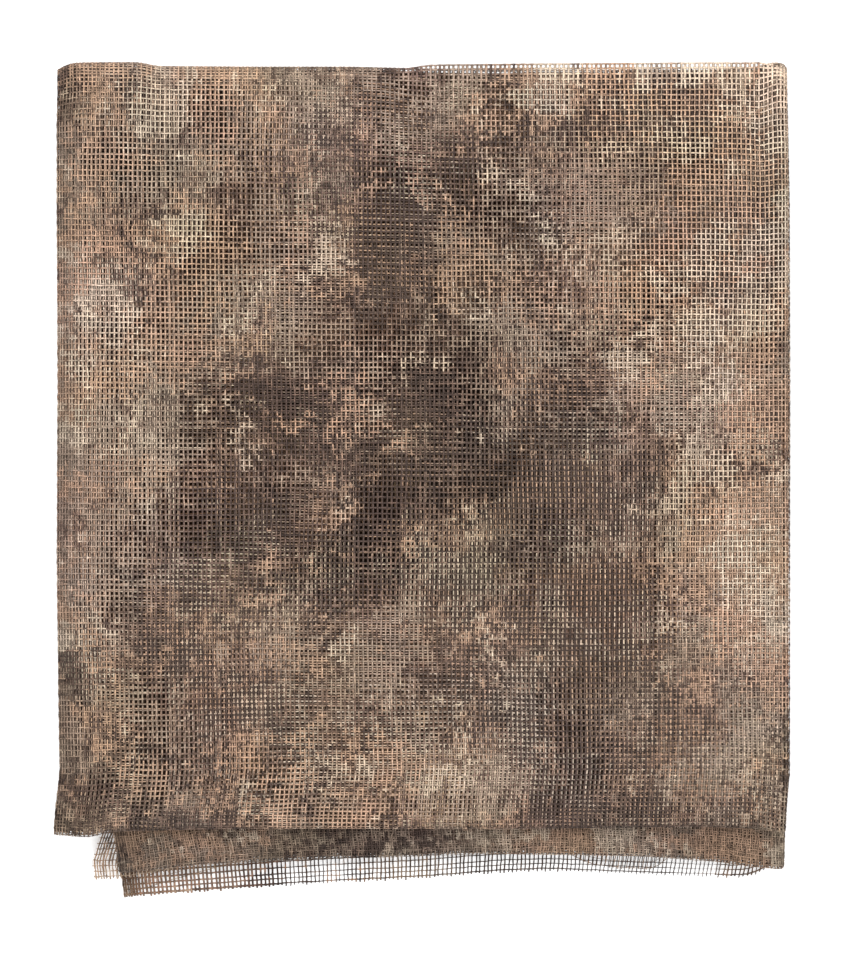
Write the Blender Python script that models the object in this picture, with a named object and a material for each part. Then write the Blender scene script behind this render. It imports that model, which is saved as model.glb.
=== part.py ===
"""A camouflage net, one cut length of printed open mesh, folded for storage.

The width is folded first: both long edges go to the middle and the strip is closed like a
book, which makes a slab of four plies. The slab is then folded back and forth along its
length into five panels. The whole net is one thin sheet, so it is one closed solid.
Metres, +Z up. X runs across the slab and Y along it. The origin is under the middle of the
folded net, on the surface that it lies on.
"""
import math

import bpy
import numpy as np

MM = 0.001

# The sheet and the stack.
SHEET = 1.0 * MM                  # the mesh at its crossings, yarn over yarn
GAP = 0.3 * MM                    # air between two plies
PLIES = 4
PLY_PITCH = SHEET + GAP
SLAB = PLIES * SHEET + (PLIES - 1) * GAP
PANEL_PITCH = SLAB + GAP
HALF_SLAB = SLAB / 2
LEVEL = [HALF_SLAB + k * PANEL_PITCH for k in range(5)]     # panel heights, lowest first

# Turns across the width. The tight ones join a flap to its outer ply, the wide one is the
# book's spine.
TIGHT_TURN = PLY_PITCH / 2
SPINE_TURN = 1.5 * PLY_PITCH
TIGHT_REACH = TIGHT_TURN + SHEET / 2
SPINE_REACH = SPINE_TURN + SHEET / 2

# Turns along the length.
END_TURN = PANEL_PITCH / 2        # between two panels that lie on each other
CORNER = HALF_SLAB + 0.2 * MM     # corners of the wrap that holds the far end of the stack
END_REACH = END_TURN + HALF_SLAB
CORNER_REACH = CORNER + HALF_SLAB
TUCK = 6.5 * MM                   # the inner fold's axis stays this far inside the wrap's axis
LAST_TUCK = 4.0 * MM              # the last panel's raw end, likewise

# Columns across a ply, as shares of the way from its left fold to the spine. A flap has all
# but the last of them, so its raw edge stays short of the spine.
PLY_COLUMNS = (0.0, 0.02, 0.05, 0.09, 0.125, 0.26, 0.42, 0.60, 0.78, 0.90, 0.97, 1.0)
FLAP_COLUMNS = PLY_COLUMNS[:-1]
TURN_STEPS = 4
CORNER_STEPS = 2
QUARTER = math.pi / 2

# Outlines of the folds seen from above, outer faces, in mm: x, y.
WRAP_OUTLINE = (
    (-184, 203.6), (-181, 206.0), (-176, 208.6), (-161, 208.8), (-139, 208.9), (-135, 207.0),
    (-86, 206.6), (-36, 206.6), (4, 205.6), (59, 204.9), (139, 204.8), (164, 205.6),
    (173, 208.4), (179, 209.5), (184, 206.0))
TOP_FOLD_OUTLINE = (
    (-184, -178.0), (-165, -179.4), (-158, -176.8), (-151, -176.0), (-111, -175.2),
    (-61, -174.7), (39, -175.0), (139, -173.8), (169, -174.8), (181, -177.2))
LOWER_FOLD_OUTLINE = (
    (-151, -197.4), (-136, -195.8), (-111, -193.2), (-61, -190.7), (-11, -189.2),
    (29, -187.8), (69, -188.2), (109, -188.8), (149, -191.8), (164, -194.2), (181, -195.6))

# The cut end of the lowest panel, in mm: x, y, one line for each pair of plies.
LOW_PLY_END = (
    (-150, -209.7), (-111, -206.7), (-61, -203.2), (-1, -200.2), (39, -197.2), (64, -196.2),
    (99, -197.7), (161, -199.7), (168, -198.0), (174, -194.0), (185, -190.0))
LOW_FLAP_END = (
    (-150, -209.7), (-130, -203.0), (-90, -192.0), (-50, -186.0), (64, -184.0), (84, -194.0),
    (100, -196.0), (118, -196.5), (126, -187.0), (185, -184.0))
HIGH_PAIR_END = ((-165, -200.7), (-150, -200.2), (-111, -194.0), (-61, -187.0), (185, -184.0))

# Side edges down the folded strip, outer faces, in mm. One row for each station: the share of
# the panel gone, the left fold of the low pair (which turns uppermost in the top panel), the
# left fold of the other pair, and the spine on the right.
LOWEST_PANEL = (
    (0.000, -149.5, -164.5, 178.0), (0.022, -150.5, -165.8, 180.0), (0.050, -151.2, -162.5, 181.0),
    (0.075, -151.8, -158.5, 181.5), (0.200, -156.0, -161.0, 182.0), (0.550, -172.0, -173.0, 183.8),
    (1.000, -182.0, -181.2, 182.8))
TOP_PANEL = (
    (0.000, -182.6, -181.9, 182.6), (0.150, -182.9, -182.4, 183.3), (0.400, -182.3, -181.8, 183.2),
    (0.650, -182.8, -182.3, 183.4), (0.930, -181.4, -181.0, 183.6), (1.000, -184.4, -183.8, 182.2))
SECOND_PANEL = (
    (0.000, -184.2, -183.4, 182.0), (0.070, -181.5, -181.2, 184.3), (0.350, -182.7, -182.2, 184.4),
    (0.600, -182.2, -181.8, 184.5), (0.850, -182.7, -182.2, 184.2), (1.000, -182.2, -181.6, 183.0))
THIRD_PANEL = (
    (0.000, -181.8, -181.2, 182.8), (0.150, -182.0, -181.5, 184.0), (0.400, -180.5, -180.0, 184.3),
    (0.800, -165.0, -164.0, 183.6), (1.000, -152.0, -152.6, 181.6))
FOURTH_PANEL = (
    (0.000, -152.2, -152.8, 181.4), (0.300, -166.0, -165.0, 183.6), (0.650, -179.5, -179.0, 183.8),
    (1.000, -181.0, -180.4, 182.4))

# The outermost ply stands clear of the wrap along this stretch of the far end, in mm: x, y.
LIP = ((-20, 0.0), (6, 1.8), (60, 3.0), (140, 3.6), (163, 2.8), (176, 0.0))
LIP_FOOT = 0.55                   # how far up the wrap's wall the lip starts
LIP_FOOT_PUSH = 0.25              # the share of the lip that the wall has there

# Soft unevenness of the stack's height.
SWELL = 0.018                     # share of the height, up and down
SWELL_LENGTH = (0.30, 0.34)       # wave lengths along X and Y, in metres
SWELL_PHASE = (0.6, -0.4)         # radians
# Where the stack sinks towards its sides: axis, sign, place of the side, reach, share of height.
DROOPS = ((0, 1, -183 * MM, 20 * MM, 0.12), )


def on_line(table, x):
    """The height of a plan outline given in mm, at x in metres."""
    xs = [row[0] * MM for row in table]
    ys = [row[1] * MM for row in table]
    return float(np.interp(x, xs, ys))


def wrap_axis(column, x):
    return on_line(WRAP_OUTLINE, x) - CORNER_REACH


def top_fold_axis(column, x):
    return on_line(TOP_FOLD_OUTLINE, x) + END_REACH


def lower_fold_axis(column, x):
    return on_line(LOWER_FOLD_OUTLINE, x) + END_REACH


def inner_fold_axis(column, x):
    return wrap_axis(column, x) - TUCK


def last_end(column, x):
    return wrap_axis(column, x) - LAST_TUCK


def lip(column, x):
    """How far the outermost ply stands clear of the wrap."""
    return on_line(LIP, x) if column[0] == "low ply" else 0.0


def across():
    """Columns across the unfolded width, from one long edge of the cut to the other.

    Each column is (ply, share of the ply from its left fold, turn, angle in the turn).
    """
    columns = [("high flap", share, None, 0.0) for share in reversed(FLAP_COLUMNS)]
    columns += [(None, 0.0, "high left", step / TURN_STEPS) for step in range(1, TURN_STEPS)]
    columns += [("high ply", share, None, 0.0) for share in PLY_COLUMNS]
    columns += [(None, 0.0, "spine", step / TURN_STEPS) for step in range(1, TURN_STEPS)]
    columns += [("low ply", share, None, 0.0) for share in reversed(PLY_COLUMNS)]
    columns += [(None, 0.0, "low left", step / TURN_STEPS) for step in range(1, TURN_STEPS)]
    columns += [("low flap", share, None, 0.0) for share in FLAP_COLUMNS]
    return columns


PLY_LEVEL = {"high flap": 0.5, "high ply": 1.5, "low ply": -1.5, "low flap": -0.5}
PLY_FACES = {"high flap": -1.0, "high ply": 1.0, "low ply": -1.0, "low flap": 1.0}


def across_point(column, edges):
    """Centre of the sheet and its outward direction in the slab's own section (x, n)."""
    ply, share, turn, angle = column
    low_left, high_left, right = edges
    low_axis = low_left + TIGHT_REACH
    high_axis = high_left + TIGHT_REACH
    spine_axis = right - SPINE_REACH
    if turn is None:
        left = high_axis if ply.startswith("high") else low_axis
        if share > 0:               # past its fold, a ply's columns lie over the other plies'
            left = max(high_axis, low_axis)
        x = left + share * (spine_axis - left)
        return x, PLY_LEVEL[ply] * PLY_PITCH, 0.0, PLY_FACES[ply]
    if turn == "spine":
        around = math.pi * (0.5 - angle)
        return (spine_axis + SPINE_TURN * math.cos(around), SPINE_TURN * math.sin(around),
                math.cos(around), math.sin(around))
    around = math.pi * (1.5 - angle)
    axis, level = (high_axis, PLY_PITCH) if turn == "high left" else (low_axis, -PLY_PITCH)
    return (axis + TIGHT_TURN * math.cos(around), level + TIGHT_TURN * math.sin(around),
            math.cos(around), math.sin(around))


def cut_end(column, x):
    """Where a column's yarns end in the lowest panel."""
    ply, _, turn, angle = column
    if turn == "spine":
        return (1 - angle) * on_line(HIGH_PAIR_END, x) + angle * on_line(LOW_PLY_END, x)
    if turn == "high left" or (ply or "").startswith("high"):
        return on_line(HIGH_PAIR_END, x)
    if ply == "low flap":
        return on_line(LOW_FLAP_END, x)
    return on_line(LOW_PLY_END, x)


class Row:
    """One row of the sheet across the slab, at its side edges.

    place(column, x) gives the slab's middle there (y, z), the slab's upward direction
    (y, z), and how far the yarns are pushed out along Y.
    """

    def __init__(self, edges, place):
        self.edges = edges
        self.place = place

    def points(self, columns):
        middle, outward = [], []
        for column in columns:
            x, n, out_x, out_n = across_point(column, self.edges)
            y, z, up_y, up_z, push = self.place(column, x)
            middle.append((x, y + n * up_y + push, z + n * up_z))
            outward.append((out_x, out_n * up_y, out_n * up_z))
        return np.array(middle), np.array(outward)


def first_edges(panel):
    return [value * MM for value in panel[0][1:]]


def last_edges(panel):
    return [value * MM for value in panel[-1][1:]]


def panel_rows(panel, start, stop, level, up):
    """Rows of a flat panel at its stations, between two lines across the slab."""
    def row(share, *edges):
        def place(column, x):
            y = (1 - share) * start(column, x) + share * stop(column, x)
            return y, level, 0.0, up, 0.0
        return Row([value * MM for value in edges], place)
    return [row(*station) for station in panel]


def turn_rows(edges, axis, level, radius, first, sweep, steps, lip_fades=False):
    """Rows of a turn about an axis line: angles in the (y, z) plane, from first by sweep."""
    start, stop = edges
    inward = math.copysign(1.0, sweep)

    def row(done):
        out_y = math.cos(first + sweep * done)
        out_z = math.sin(first + sweep * done)

        def place(column, x):
            push = (1 - done) * lip(column, x) if lip_fades else 0.0
            return (axis(column, x) + radius * out_y, level + radius * out_z,
                    -inward * out_y, -inward * out_z, push)
        return Row([(1 - done) * a + done * b for a, b in zip(start, stop)], place)
    return [row(step / steps) for step in range(1, steps + 1)]


def wall_row(edges, height, lip_share):
    def place(column, x):
        return wrap_axis(column, x) + CORNER, height, -1.0, 0.0, lip_share * lip(column, x)
    return Row(edges, place)


def wrap_rows():
    """The far end: round a corner, up the end of the stack, and over on to its top."""
    below, above = last_edges(LOWEST_PANEL), first_edges(TOP_PANEL)
    low, high = LEVEL[0] + CORNER, LEVEL[4] - CORNER
    rows = turn_rows((below, below), wrap_axis, low, CORNER, -QUARTER, QUARTER, CORNER_STEPS)
    rows.append(wall_row(below, low + LIP_FOOT * (high - low), LIP_FOOT_PUSH))
    rows.append(wall_row(above, high, 1.0))
    rows += turn_rows((above, above), wrap_axis, high, CORNER, 0.0, QUARTER, CORNER_STEPS,
                      lip_fades=True)
    return rows


def end_turn(before, after, axis, upper, bend):
    """The turn from a panel to the one under it, round the near (1) or the far (-1) end."""
    edges = last_edges(before), first_edges(after)
    middle = LEVEL[upper] - PANEL_PITCH / 2
    return turn_rows(edges, axis, middle, END_TURN, QUARTER, bend * 2 * QUARTER, TURN_STEPS)


def along():
    """Rows along the unfolded length, from the cut end that shows to the hidden one."""
    rows = panel_rows(LOWEST_PANEL, cut_end, wrap_axis, LEVEL[0], 1.0)
    rows += wrap_rows()
    rows += panel_rows(TOP_PANEL, wrap_axis, top_fold_axis, LEVEL[4], -1.0)[1:]
    rows += end_turn(TOP_PANEL, SECOND_PANEL, top_fold_axis, 4, 1)
    rows += panel_rows(SECOND_PANEL, top_fold_axis, inner_fold_axis, LEVEL[3], 1.0)[1:]
    rows += end_turn(SECOND_PANEL, THIRD_PANEL, inner_fold_axis, 3, -1)
    rows += panel_rows(THIRD_PANEL, inner_fold_axis, lower_fold_axis, LEVEL[2], -1.0)[1:]
    rows += end_turn(THIRD_PANEL, FOURTH_PANEL, lower_fold_axis, 2, 1)
    rows += panel_rows(FOURTH_PANEL, lower_fold_axis, last_end, LEVEL[1], 1.0)[1:]
    return rows


def swell(points):
    """Raise and lower the stack a little, and let it sink at its sides, on a flat underside."""
    turn = 2 * math.pi
    wave = np.sin(turn * points[..., 0] / SWELL_LENGTH[0] + SWELL_PHASE[0])
    wave *= np.cos(turn * points[..., 1] / SWELL_LENGTH[1] + SWELL_PHASE[1])
    sink = np.zeros(points.shape[:-1])
    for axis, sign, edge, reach, depth in DROOPS:
        inside = np.clip((sign * points[..., axis] - sign * edge) / reach, 0, 1)
        sink += depth * (1 - np.sin(QUARTER * inside))
    points[..., 2] *= 1 + SWELL * wave - sink
    return points


def sheet_mesh(name):
    """The closed sheet: a face grid on each side of its middle, and a rim round the cut."""
    columns = across()
    middles, outwards = zip(*(row.points(columns) for row in along()))
    middle, outward = np.array(middles), np.array(outwards)
    outer = swell(middle + outward * SHEET / 2)
    inner = swell(middle - outward * SHEET / 2)
    rows, cols = middle.shape[:2]
    verts = np.concatenate([outer.reshape(-1, 3), inner.reshape(-1, 3)])
    side = rows * cols

    def at(i, j, face):
        return i * cols + j + face * side

    faces = []
    for i in range(rows - 1):
        for j in range(cols - 1):
            faces.append((at(i, j, 0), at(i, j + 1, 0), at(i + 1, j + 1, 0), at(i + 1, j, 0)))
            faces.append((at(i, j, 1), at(i + 1, j, 1), at(i + 1, j + 1, 1), at(i, j + 1, 1)))
    for i in range(rows - 1):
        faces.append((at(i, 0, 1), at(i, 0, 0), at(i + 1, 0, 0), at(i + 1, 0, 1)))
        last = cols - 1
        faces.append((at(i, last, 0), at(i, last, 1), at(i + 1, last, 1), at(i + 1, last, 0)))
    for j in range(cols - 1):
        faces.append((at(0, j, 0), at(0, j, 1), at(0, j + 1, 1), at(0, j + 1, 0)))
        last = rows - 1
        faces.append((at(last, j, 1), at(last, j, 0), at(last, j + 1, 0), at(last, j + 1, 1)))
    mesh = bpy.data.meshes.new(name)
    mesh.from_pydata([tuple(v) for v in verts], [], faces)
    mesh.update()
    return mesh


def printed_mesh():
    material = bpy.data.materials.new("printed_mesh")
    material.use_nodes = True
    shader = material.node_tree.nodes["Principled BSDF"]
    shader.inputs["Base Color"].default_value = (0.20, 0.145, 0.105, 1.0)
    shader.inputs["Roughness"].default_value = 0.85
    shader.inputs["Metallic"].default_value = 0.0
    return material


def main():
    for old in list(bpy.data.objects):
        bpy.data.objects.remove(old, do_unlink=True)
    mesh = sheet_mesh("net")
    mesh.materials.append(printed_mesh())
    net = bpy.data.objects.new("net", mesh)
    bpy.context.scene.collection.objects.link(net)


main()
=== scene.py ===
"""Looks of the folded camouflage net: the yarns of its open mesh, its print, the light and the camera.

The net is one sheet of cloth. A point on it is given by its cloth coordinates, u across the width
and v along the length, in metres from the corner where the print starts. fold() says where such a
point lies in the folded net, with the sizes of the CAD sheet, so every yarn follows the cloth
through its folds. Metres, +Z up.
"""
import math

import bpy
import numpy as np
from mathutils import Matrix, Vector


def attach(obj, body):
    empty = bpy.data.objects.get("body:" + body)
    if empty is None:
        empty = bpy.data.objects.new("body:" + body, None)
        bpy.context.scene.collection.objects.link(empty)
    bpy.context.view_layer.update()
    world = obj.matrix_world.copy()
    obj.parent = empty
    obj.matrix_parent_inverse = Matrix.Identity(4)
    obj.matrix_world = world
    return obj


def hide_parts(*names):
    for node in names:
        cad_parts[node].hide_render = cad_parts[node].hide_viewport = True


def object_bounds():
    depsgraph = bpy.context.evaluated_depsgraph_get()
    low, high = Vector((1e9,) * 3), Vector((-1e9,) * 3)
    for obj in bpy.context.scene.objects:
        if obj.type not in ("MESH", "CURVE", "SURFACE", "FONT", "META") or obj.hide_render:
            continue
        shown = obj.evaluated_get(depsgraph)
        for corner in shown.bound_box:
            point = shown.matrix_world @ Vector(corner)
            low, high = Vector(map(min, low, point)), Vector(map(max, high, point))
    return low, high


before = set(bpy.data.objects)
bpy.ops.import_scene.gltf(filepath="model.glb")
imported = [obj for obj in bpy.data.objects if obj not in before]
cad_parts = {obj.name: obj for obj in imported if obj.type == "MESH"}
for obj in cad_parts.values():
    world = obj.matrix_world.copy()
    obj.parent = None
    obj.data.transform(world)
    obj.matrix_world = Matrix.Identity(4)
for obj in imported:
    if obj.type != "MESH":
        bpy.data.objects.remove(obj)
CAD_LOW, CAD_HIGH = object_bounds()

MM = 0.001
HALF_TURN = math.pi
QUARTER = math.pi / 2

# -------- the fold
# Its sizes are those of the CAD sheet, but for SECOND_LIP, FLAP_SHARE and three of the DROOPS.
SHEET = 1.0 * MM
GAP = 0.3 * MM
PLY_PITCH = SHEET + GAP
SLAB = 4 * SHEET + 3 * GAP
PANEL_PITCH = SLAB + GAP
HALF_SLAB = SLAB / 2
LEVEL = [HALF_SLAB + k * PANEL_PITCH for k in range(5)]
TIGHT_TURN = PLY_PITCH / 2
SPINE_TURN = 1.5 * PLY_PITCH
TIGHT_REACH = TIGHT_TURN + SHEET / 2
SPINE_REACH = SPINE_TURN + SHEET / 2
END_TURN = PANEL_PITCH / 2
CORNER = HALF_SLAB + 0.2 * MM
END_REACH = END_TURN + HALF_SLAB
CORNER_REACH = CORNER + HALF_SLAB
TUCK = 6.5 * MM
LAST_TUCK = 4.0 * MM

# Outlines of the folds seen from above, in mm: x, y.
WRAP_OUTLINE = (
    (-184, 203.6), (-181, 206.0), (-176, 208.6), (-161, 208.8), (-139, 208.9), (-135, 207.0),
    (-86, 206.6), (-36, 206.6), (4, 205.6), (59, 204.9), (139, 204.8), (164, 205.6),
    (173, 208.4), (179, 209.5), (184, 206.0))
TOP_FOLD_OUTLINE = (
    (-184, -178.0), (-165, -179.4), (-158, -176.8), (-151, -176.0), (-111, -175.2),
    (-61, -174.7), (39, -175.0), (139, -173.8), (169, -174.8), (181, -177.2))
LOWER_FOLD_OUTLINE = (
    (-151, -197.4), (-136, -195.8), (-111, -193.2), (-61, -190.7), (-11, -189.2),
    (29, -187.8), (69, -188.2), (109, -188.8), (149, -191.8), (164, -194.2), (181, -195.6))
LOW_PLY_END = (
    (-150, -209.7), (-111, -206.7), (-61, -203.2), (-1, -200.2), (39, -197.2), (64, -196.2),
    (99, -197.7), (161, -199.7), (168, -198.0), (174, -194.0), (185, -190.0))
LOW_FLAP_END = (
    (-150, -209.7), (-130, -203.0), (-90, -192.0), (-50, -186.0), (64, -184.0), (84, -194.0),
    (100, -196.0), (118, -196.5), (126, -187.0), (185, -184.0))
HIGH_PAIR_END = ((-165, -200.7), (-150, -200.2), (-111, -194.0), (-61, -187.0), (185, -184.0))
LIP = ((-20, 0.0), (6, 1.8), (60, 3.0), (140, 3.6), (163, 2.8), (176, 0.0))
SECOND_LIP = ((86, 0.0), (102, 4.2), (158, 4.6), (170, 2.4), (185, 1.9))

# Side edges down the strip, in mm: share of the panel, low pair's fold, high pair's fold, spine.
LOWEST_PANEL = (
    (0.000, -149.5, -164.5, 178.0), (0.022, -150.5, -165.8, 180.0), (0.050, -151.2, -162.5, 181.0),
    (0.075, -151.8, -158.5, 181.5), (0.200, -156.0, -161.0, 182.0), (0.550, -172.0, -173.0, 183.8),
    (1.000, -182.0, -181.2, 182.8))
TOP_PANEL = (
    (0.000, -182.6, -181.9, 182.6), (0.150, -182.9, -182.4, 183.3), (0.400, -182.3, -181.8, 183.2),
    (0.650, -182.8, -182.3, 183.4), (0.930, -181.4, -181.0, 183.6), (1.000, -184.4, -183.8, 182.2))
SECOND_PANEL = (
    (0.000, -184.2, -183.4, 182.0), (0.070, -181.5, -181.2, 184.3), (0.350, -182.7, -182.2, 184.4),
    (0.600, -182.2, -181.8, 184.5), (0.850, -182.7, -182.2, 184.2), (1.000, -182.2, -181.6, 183.0))
THIRD_PANEL = (
    (0.000, -181.8, -181.2, 182.8), (0.150, -182.0, -181.5, 184.0), (0.400, -180.5, -180.0, 184.3),
    (0.800, -165.0, -164.0, 183.6), (1.000, -152.0, -152.6, 181.6))
FOURTH_PANEL = (
    (0.000, -152.2, -152.8, 181.4), (0.300, -166.0, -165.0, 183.6), (0.650, -179.5, -179.0, 183.8),
    (1.000, -181.0, -180.4, 182.4))

SWELL = 0.018
SWELL_LENGTH = (0.30, 0.34)
SWELL_PHASE = (0.6, -0.4)
# Where the stack sinks towards its sides: axis, sign, place of the side, reach, share of height.
# The first is in the CAD sheet too.
DROOPS = (
    (0, 1, -183 * MM, 20 * MM, 0.12), (0, -1, 184 * MM, 12 * MM, 0.05),
    (1, 1, -179 * MM, 18 * MM, 0.06), (1, -1, 209 * MM, 16 * MM, 0.05))


def line(table, soften=3.0 * MM):
    """A plan outline given in mm as a function of x in metres, with its corners softened."""
    xs = np.arange(-0.2, 0.2001, 0.5 * MM)
    ys = np.interp(xs, *(np.array(table) * MM).T)
    reach = int(round(3 * soften / (0.5 * MM)))
    bell = np.exp(-0.5 * (np.arange(-reach, reach + 1) * 0.5 * MM / soften) ** 2)
    padded = np.pad(ys, reach, mode="edge")
    ys = np.convolve(padded, bell / bell.sum(), mode="valid")
    return lambda x: np.interp(x, xs, ys)


def edge_curves(panel):
    """The side edges of a panel as functions of the share of it that is gone."""
    shares = np.linspace(0, 1, 201)
    keys, *edges = zip(*panel)
    curves = [np.interp(shares, keys, np.array(edge) * MM) for edge in edges]
    return lambda share: [np.interp(share, shares, curve) for curve in curves]


def moved(outline, distance):
    """An outline moved along the length."""
    return lambda x: outline(x) + distance


wrap_axis = moved(line(WRAP_OUTLINE), -CORNER_REACH)
inner_fold_axis = moved(wrap_axis, -TUCK)
last_end = moved(wrap_axis, -LAST_TUCK)
top_fold_axis = moved(line(TOP_FOLD_OUTLINE), END_REACH)
lower_fold_axis = moved(line(LOWER_FOLD_OUTLINE), END_REACH)
low_ply_end = line(LOW_PLY_END)
low_flap_end = line(LOW_FLAP_END)
high_pair_end = line(HIGH_PAIR_END)
lip_line = line(LIP)
second_lip_line = line(SECOND_LIP)

# Zones across the width, in the order of the cloth: name, length in metres. The plies' nominal
# width is the same all the way, and the yarns take up what the edges change.
PLY_WIDTH = 361.0 * MM
FLAP_SHARE = 0.992
ZONES = (
    ("high flap", FLAP_SHARE * PLY_WIDTH), ("high left", HALF_TURN * TIGHT_TURN),
    ("high ply", PLY_WIDTH), ("spine", HALF_TURN * SPINE_TURN), ("low ply", PLY_WIDTH),
    ("low left", HALF_TURN * TIGHT_TURN), ("low flap", FLAP_SHARE * PLY_WIDTH))
ZONE_STARTS = np.concatenate([[0.0], np.cumsum([length for _, length in ZONES])])
ZONE_NAMES = [name for name, _ in ZONES]
HIGH_ZONES = [ZONE_NAMES.index(name) for name in ("high flap", "high left", "high ply")]
ROUND_ZONES = [ZONE_NAMES.index(name) for name in ("high left", "spine", "low left")]
SPINE_ZONE = ZONE_NAMES.index("spine")
LOW_PLY_ZONE = ZONE_NAMES.index("low ply")
LOW_FLAP_ZONE = ZONE_NAMES.index("low flap")
NET_WIDTH = float(ZONE_STARTS[-1])
LEVEL_OF = {"high flap": 0.5, "high ply": 1.5, "low ply": -1.5, "low flap": -0.5}


def across(u, edges):
    """x, n and the cloth's outward direction in the slab's section, at cloth width u."""
    low_left, high_left, right = edges
    axes = (low_left + TIGHT_REACH, high_left + TIGHT_REACH, right - SPINE_REACH)
    x, n, out_x, out_n = (np.zeros_like(u) for _ in range(4))
    zone = np.clip(np.searchsorted(ZONE_STARTS, u, side="right") - 1, 0, len(ZONES) - 1)
    for index, (name, length) in enumerate(ZONES):
        here = zone == index
        if not here.any():
            continue
        gone = (u[here] - ZONE_STARTS[index]) / length
        low, high, spine = (axis[here] for axis in axes)
        if index in ROUND_ZONES:
            axis, level, radius, first = {
                "high left": (high, PLY_PITCH, TIGHT_TURN, 1.5), "spine": (spine, 0.0, SPINE_TURN, 0.5),
                "low left": (low, -PLY_PITCH, TIGHT_TURN, 1.5)}[name]
            around = HALF_TURN * (first - gone)
            x[here] = axis + radius * np.cos(around)
            n[here] = level + radius * np.sin(around)
            out_x[here], out_n[here] = np.cos(around), np.sin(around)
        else:
            left = high if name.startswith("high") else low
            share = {"high flap": FLAP_SHARE * (1 - gone), "high ply": gone,
                     "low ply": 1 - gone, "low flap": FLAP_SHARE * gone}[name]
            x[here] = left + share * (spine - left)
            n[here] = LEVEL_OF[name] * PLY_PITCH
            out_n[here] = 1.0 if name in ("high ply", "low flap") else -1.0
    return x, n, out_x, out_n, zone


def cut_end(zone, gone_spine, x):
    """y of the raw end of each ply."""
    high, low = high_pair_end(x), low_ply_end(x)
    ends = np.where(np.isin(zone, HIGH_ZONES), high, low)
    ends = np.where(zone == SPINE_ZONE, (1 - gone_spine) * high + gone_spine * low, ends)
    return np.where(zone == LOW_FLAP_ZONE, low_flap_end(x), ends)


def constant(values):
    return lambda share: [np.full_like(share, value * MM) for value in values]


def between(panel_a, panel_b):
    a, b = panel_a[-1][1:], panel_b[0][1:]
    return lambda share: [(1 - share) * p * MM + share * q * MM for p, q in zip(a, b)]


def flat(start, stop, level, up):
    def place(share, x, zone, gone_spine):
        begin = cut_end(zone, gone_spine, x) if start is None else start(x)
        y = (1 - share) * begin + share * stop(x)
        zero = np.zeros_like(x)
        return y, zero + level, zero, zero + up
    return place


# The top panel's rows run straight, but for strips behind its ends where they follow the outline.
ROW_STRIPS = (14 * MM, 22 * MM)
ROW_STRIPS_APART = 380 * MM       # about the panel's length
FAR_LINE = (-86 * MM, 139 * MM)   # the straight rows line up with the far outline at these places
NEAR_LINE = (-111 * MM, 139 * MM)  # and with the near one at these


def straight(x, outline, left, right):
    """The straight line through an outline's points at left and right, in metres."""
    at_left, at_right = outline(left), outline(right)
    return at_left + (at_right - at_left) * (x - left) / (right - left)


def top_panel(share, x, zone, gone_spine):
    begin, stop = wrap_axis(x), top_fold_axis(x)
    far = straight(x, wrap_axis, *FAR_LINE)
    near = straight(x, top_fold_axis, *NEAR_LINE)
    y = (1 - share) * far + share * near
    y = y + (begin - far) * np.exp(-share * ROW_STRIPS_APART / ROW_STRIPS[0])
    y = y + (stop - near) * np.exp(-(1 - share) * ROW_STRIPS_APART / ROW_STRIPS[1])
    zero = np.zeros_like(x)
    return y, zero + LEVEL[4], zero, zero - 1.0


def turn(axis, level, radius, first, sweep):
    inward = math.copysign(1.0, sweep)

    def place(share, x, zone, gone_spine):
        angle = first + sweep * share
        out_y, out_z = np.cos(angle), np.sin(angle)
        return axis(x) + radius * out_y, level + radius * out_z, -inward * out_y, -inward * out_z
    return place


OUTER = CORNER + 1.5 * PLY_PITCH  # from the corner's axis to its outermost ply
LIP_FULL = 1.6 * MM               # from this reach on, the outermost ply has the lip's full form
LIP_SLANT = 2.3 * MM              # height over which the ply runs out under the lip
LIP_DROP = 0.5 * MM               # how far the lip's edge sinks below the top
LIP_ROW_GAP = 2.2 * MM            # from the row on the lip's edge to the next one
# How far the ply has turned on those two rows.
LIP_FACING = (0.72 * QUARTER, 0.97 * QUARTER)


def lip_formed(x):
    """How much of the lip's form the outermost ply has at x."""
    return np.clip(lip_line(x) / LIP_FULL, 0, 1)


def upper_corner(share, x, zone, gone_spine):
    """The corner above the wall. The outermost ply reaches out to its lip on one row of the mesh."""
    angle = QUARTER * share
    out_y, out_z = np.cos(angle), np.sin(angle)
    reach = lip_line(x)
    centre = wrap_axis(x)
    base = LEVEL[4] - CORNER
    y, z = centre + CORNER * out_y, base + CORNER * out_z
    places = (0.0, *lip_shares(), 1.0)
    along = np.interp(share, places, (OUTER, OUTER, OUTER, OUTER - LIP_ROW_GAP, 0.0))
    lip_y = centre + along + reach * np.interp(share, places, (0.0, 0.0, 1.0, 1.0, 0.0))
    rise = OUTER - LIP_DROP
    lip_z = base + np.interp(share, places, (0.0, rise - LIP_SLANT, rise, OUTER, OUTER))
    facing = np.interp(share, places, (0.0, 0.0, *LIP_FACING, QUARTER))
    lip_y -= 1.5 * PLY_PITCH * np.cos(facing)
    lip_z -= 1.5 * PLY_PITCH * np.sin(facing)
    formed = np.where(zone == LOW_PLY_ZONE, lip_formed(x), 0.0)
    pairs = ((y, lip_y), (z, lip_z), (-out_y, -np.cos(facing)), (-out_z, -np.sin(facing)))
    y, z, up_y, up_z = ((1 - formed) * plain + formed * lip for plain, lip in pairs)
    second = np.where(zone == LOW_FLAP_ZONE, second_lip_line(x), 0.0)
    return y + second * np.sin(HALF_TURN * share) ** 2, z, up_y, up_z


WALL = LEVEL[4] - LEVEL[0] - 2 * CORNER


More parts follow.
